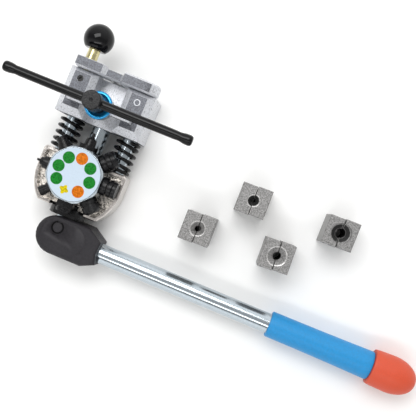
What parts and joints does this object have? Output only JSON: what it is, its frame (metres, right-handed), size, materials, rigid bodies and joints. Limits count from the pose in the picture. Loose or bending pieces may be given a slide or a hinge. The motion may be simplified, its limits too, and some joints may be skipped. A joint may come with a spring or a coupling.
{
  "type": "brake pipe flaring tool",
  "caption": "Hand-held turret flaring tool: a cam lever drives a sprung carriage of punches into split dies that a T-bar screw clamps in a gated yoke.",
  "frame": {"origin": "centre of the yoke's flat back face, which is the face the tool lies on", "axes": "+X along the lever handle towards its end cap, +Y up the tool towards the ball knob, +Z out of the tool's front"},
  "size_m": [0.4734, 0.2291, 0.1088],
  "materials": {
    "cast_alloy": "as-cast zinc-aluminium alloy, satin",
    "polished_casting": "tumbled and nickel-plated casting",
    "chromed_steel": "hard-chromed, ground bright",
    "bright_steel": "machined steel",
    "black_steel": "black-oxide steel, oiled",
    "blue_anodised": "blue anodised, satin",
    "yellow_zinc": "yellow-passivated zinc",
    "black_phenolic": "moulded phenolic, polished",
    "printed_label": "printed vinyl, laminated",
    "charcoal_paint": "powder coated, matt",
    "blue_grip": "dipped vinyl, satin",
    "orange_cap": "soft moulded plastic",
    "die_steel": "sintered steel, oiled"
  },
  "bodies": {
    "yoke": {"yoke_body": "cast_alloy", "guide_column_left": "chromed_steel", "guide_column_right": "chromed_steel", "column_screw_left": "black_steel", "column_screw_right": "black_steel", "spring_left": "black_steel", "spring_right": "black_steel", "tension_rod": "chromed_steel", "rod_washer": "bright_steel", "rod_nut": "bright_steel", "clamp_ring": "blue_anodised", "gate_pivot_bolt": "bright_steel", "lock_stop_screw": "black_steel", "cam_pin": "black_steel", "pin_clip_front": "black_steel", "pin_clip_rear": "black_steel", "die_a_left": "die_steel", "die_b_left": "die_steel", "die_c_left": "die_steel", "die_d_left": "die_steel"},
    "gate": {"die_gate": "cast_alloy"},
    "lock_lift": {"lock_washer": "yellow_zinc"},
    "lock_knob": {"lock_stem": "yellow_zinc", "ball_knob": "black_phenolic"},
    "clamp_pad": {"clamp_pad": "bright_steel"},
    "clamp_screw": {"clamp_screw": "black_steel"},
    "tommy_bar": {"tommy_bar": "black_steel"},
    "carriage": {"carriage_body": "polished_casting", "thrust_ring": "black_steel", "turret_axle": "bright_steel", "axle_screw_left": "black_steel", "axle_screw_right": "black_steel", "turret_end_washer": "bright_steel", "turret_end_screw": "black_steel", "detent_ball": "bright_steel", "detent_spring": "bright_steel"},
    "turret": {"turret_body": "chromed_steel", "turret_label": "printed_label", "punch_1_flare": "black_steel", "punch_2_bubble": "black_steel", "punch_3_small": "black_steel", "punch_4_reducer": "black_steel", "punch_5_hex": "black_steel", "punch_6_wide": "black_steel", "punch_7_grooved": "black_steel", "punch_8_stepped": "black_steel"},
    "lever": {"lever_head": "charcoal_paint", "handle_tube": "chromed_steel", "handle_pin": "bright_steel", "grip_sleeve": "blue_grip", "end_cap": "orange_cap"},
    "die_a_half": {"die_a_right": "die_steel"},
    "die_b_half": {"die_b_right": "die_steel"},
    "die_c_half": {"die_c_right": "die_steel"},
    "die_d_half": {"die_d_right": "die_steel"}
  },
  "joints": [
    {"name": "lever_swing", "type": "hinge", "parent": "yoke", "child": "lever", "pos_m": [0, -0.13, 0.02], "axis": [0, 0, 1], "range_deg": [-95, 0]},
    {"name": "press_feed", "type": "slide", "parent": "yoke", "child": "carriage", "axis": [0, 1, 0], "range_m": [0, 0.0085], "stiffness_N_per_m": 5000, "springref_m": -0.002, "deforming": ["spring_left", "spring_right"]},
    {"name": "turret_spin", "type": "hinge", "parent": "carriage", "child": "turret", "pos_m": [0, -0.0748, 0.044], "axis": [0, 0, 1], "continuous": true},
    {"name": "clamp_feed", "type": "slide", "parent": "yoke", "child": "clamp_pad", "axis": [0, 0, 1], "range_m": [-0.01151, 0]},
    {"name": "clamp_spin", "type": "hinge", "parent": "clamp_pad", "child": "clamp_screw", "pos_m": [0, -0.0055, 0.08], "axis": [0, 0, 1], "range_deg": [-2070, 0]},
    {"name": "bar_slide", "type": "slide", "parent": "clamp_screw", "child": "tommy_bar", "axis": [1, 0, 0], "range_m": [-0.074, 0.0655]},
    {"name": "gate_swing", "type": "hinge", "parent": "yoke", "child": "gate", "pos_m": [0.0305, 0.028, 0.045], "axis": [0, 1, 0], "range_deg": [0, 110]},
    {"name": "lock_lift", "type": "slide", "parent": "yoke", "child": "lock_lift", "axis": [0, 1, 0], "range_m": [0, 0.003]},
    {"name": "lock_turn", "type": "hinge", "parent": "lock_lift", "child": "lock_knob", "pos_m": [-0.0305, 0.04, 0.045], "axis": [0, 1, 0], "range_deg": [0, 720.5]},
    {"name": "die_a_open", "type": "slide", "parent": "yoke", "child": "die_a_half", "axis": [0.9998, 0.02, 0], "range_m": [0, 0.012]},
    {"name": "die_b_open", "type": "slide", "parent": "yoke", "child": "die_b_half", "axis": [0.9998, 0.02, 0], "range_m": [0, 0.012]},
    {"name": "die_c_open", "type": "slide", "parent": "yoke", "child": "die_c_half", "axis": [0.999, 0.045, 0], "range_m": [0, 0.012]},
    {"name": "die_d_open", "type": "slide", "parent": "yoke", "child": "die_d_half", "axis": [0.9999, 0.01, 0], "range_m": [0, 0.012]}
  ],
  "couplings": [
    {"joint": "press_feed", "follows": "lever_swing", "m_per_rad": -0.0051143},
    {"joint": "clamp_feed", "follows": "clamp_spin", "m_per_rad": 0.00031831},
    {"joint": "lock_turn", "follows": "lock_lift", "rad_per_m": 4188.8}
  ]
}
